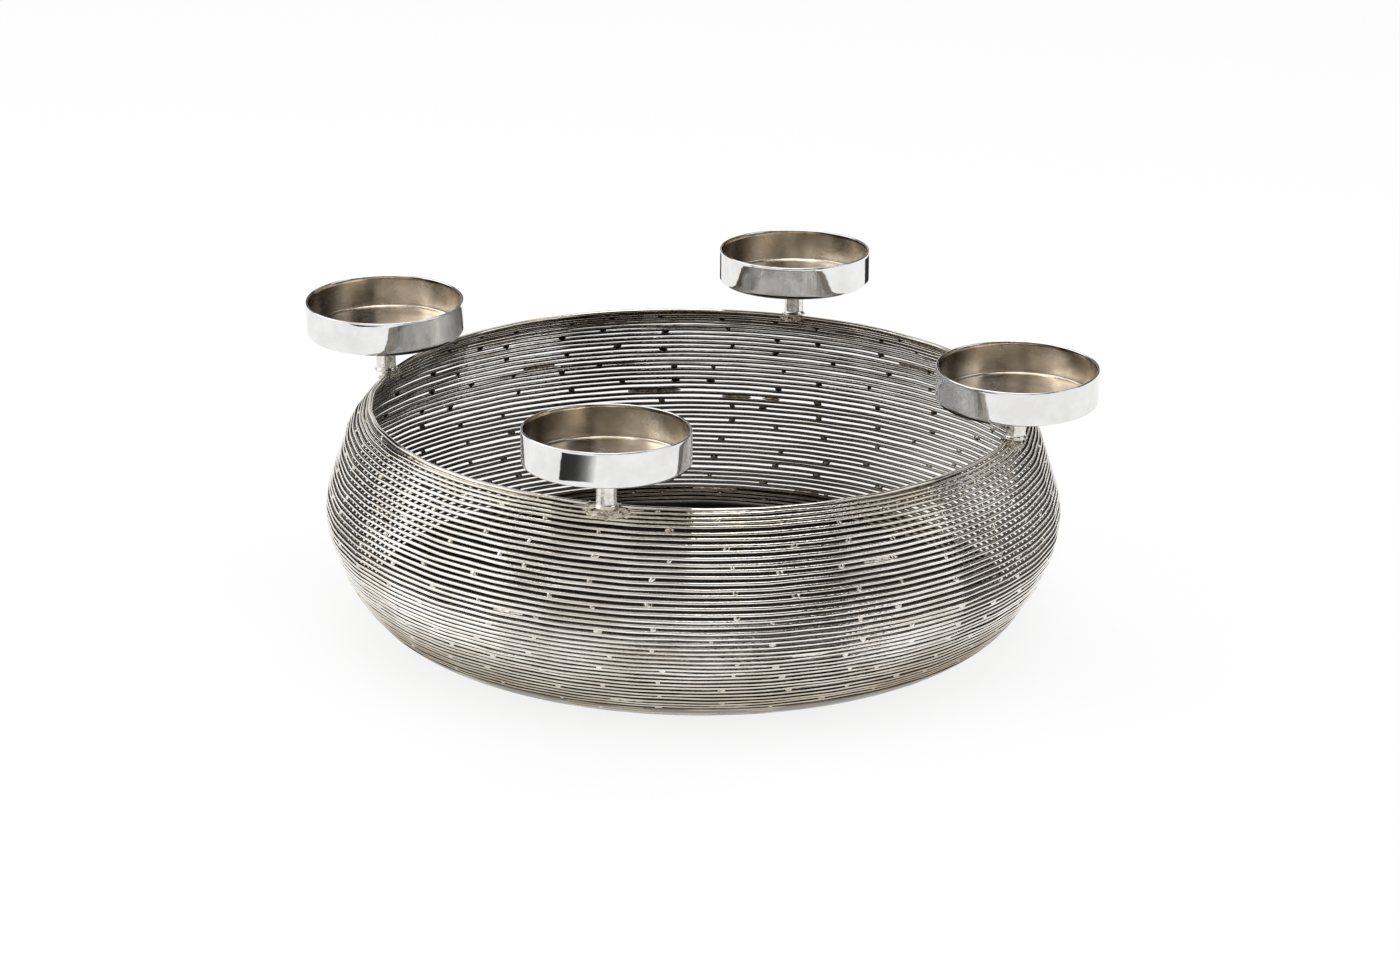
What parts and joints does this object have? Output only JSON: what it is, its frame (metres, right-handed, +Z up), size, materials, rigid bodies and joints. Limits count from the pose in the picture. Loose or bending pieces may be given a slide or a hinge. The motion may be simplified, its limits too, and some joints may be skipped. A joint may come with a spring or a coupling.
{
  "type": "wreath candle holder",
  "caption": "Low round wire bowl with candle cups standing on short stems round its rim, for a wreath or greenery and pillar candles.",
  "frame": {"origin": "middle of the flat underside of the base dish", "axes": "+Z up along the bowl's axis, +X to the right and +Y away from someone who stands in front of the cup named front"},
  "size_m": [0.3964, 0.3979, 0.1504],
  "materials": {
    "wall_wire": "warm nickel plate on steel wire, polished",
    "rim_wire": "warm nickel plate on steel wire, polished",
    "base_sheet": "warm nickel plate on pressed steel sheet, satin",
    "cup_sheet": "nickel plate on pressed steel sheet, polished outside and satin inside",
    "stem_rod": "nickel plate on steel rod, polished",
    "braze": "nickel-plated braze, lumpy and half bright"
  },
  "bodies": {
    "root": {"base_dish": "base_sheet", "rim_ring": "rim_wire", "wire_ring_01": "wall_wire", "wire_ring_02": "wall_wire", "wire_ring_03": "wall_wire", "wire_ring_04": "wall_wire", "wire_ring_05": "wall_wire", "wire_ring_06": "wall_wire", "wire_ring_07": "wall_wire", "wire_ring_08": "wall_wire", "wire_ring_09": "wall_wire", "wire_ring_10": "wall_wire", "wire_ring_11": "wall_wire", "wire_ring_12": "wall_wire", "wire_ring_13": "wall_wire", "wire_ring_14": "wall_wire", "wire_ring_15": "wall_wire", "wire_ring_16": "wall_wire", "wire_ring_17": "wall_wire", "wire_ring_18": "wall_wire", "wire_ring_19": "wall_wire", "wire_ring_20": "wall_wire", "wire_ring_21": "wall_wire", "wire_ring_22": "wall_wire", "wire_ring_23": "wall_wire", "wire_ring_24": "wall_wire", "wire_ring_25": "wall_wire", "wire_ring_26": "wall_wire", "wire_ring_27": "wall_wire", "wire_ring_28": "wall_wire", "wire_ring_29": "wall_wire", "wire_ring_30": "wall_wire", "wire_ring_31": "wall_wire", "wire_ring_32": "wall_wire", "wire_ring_33": "wall_wire", "wire_ring_34": "wall_wire", "wire_ring_35": "wall_wire", "wire_ring_36": "wall_wire", "wire_ring_37": "wall_wire", "wire_ring_38": "wall_wire", "wire_ring_39": "wall_wire", "wire_ring_40": "wall_wire", "wire_ring_41": "wall_wire", "wire_ring_42": "wall_wire", "wire_ring_43": "wall_wire", "wire_ring_44": "wall_wire", "wire_ring_45": "wall_wire", "cup_front": "cup_sheet", "cup_right": "cup_sheet", "cup_back": "cup_sheet", "cup_left": "cup_sheet", "stem_front": "stem_rod", "stem_right": "stem_rod", "stem_back": "stem_rod", "stem_left": "stem_rod", "braze_mound_front": "braze", "braze_mound_right": "braze", "braze_mound_back": "braze", "braze_mound_left": "braze"}
  },
  "joints": []
}
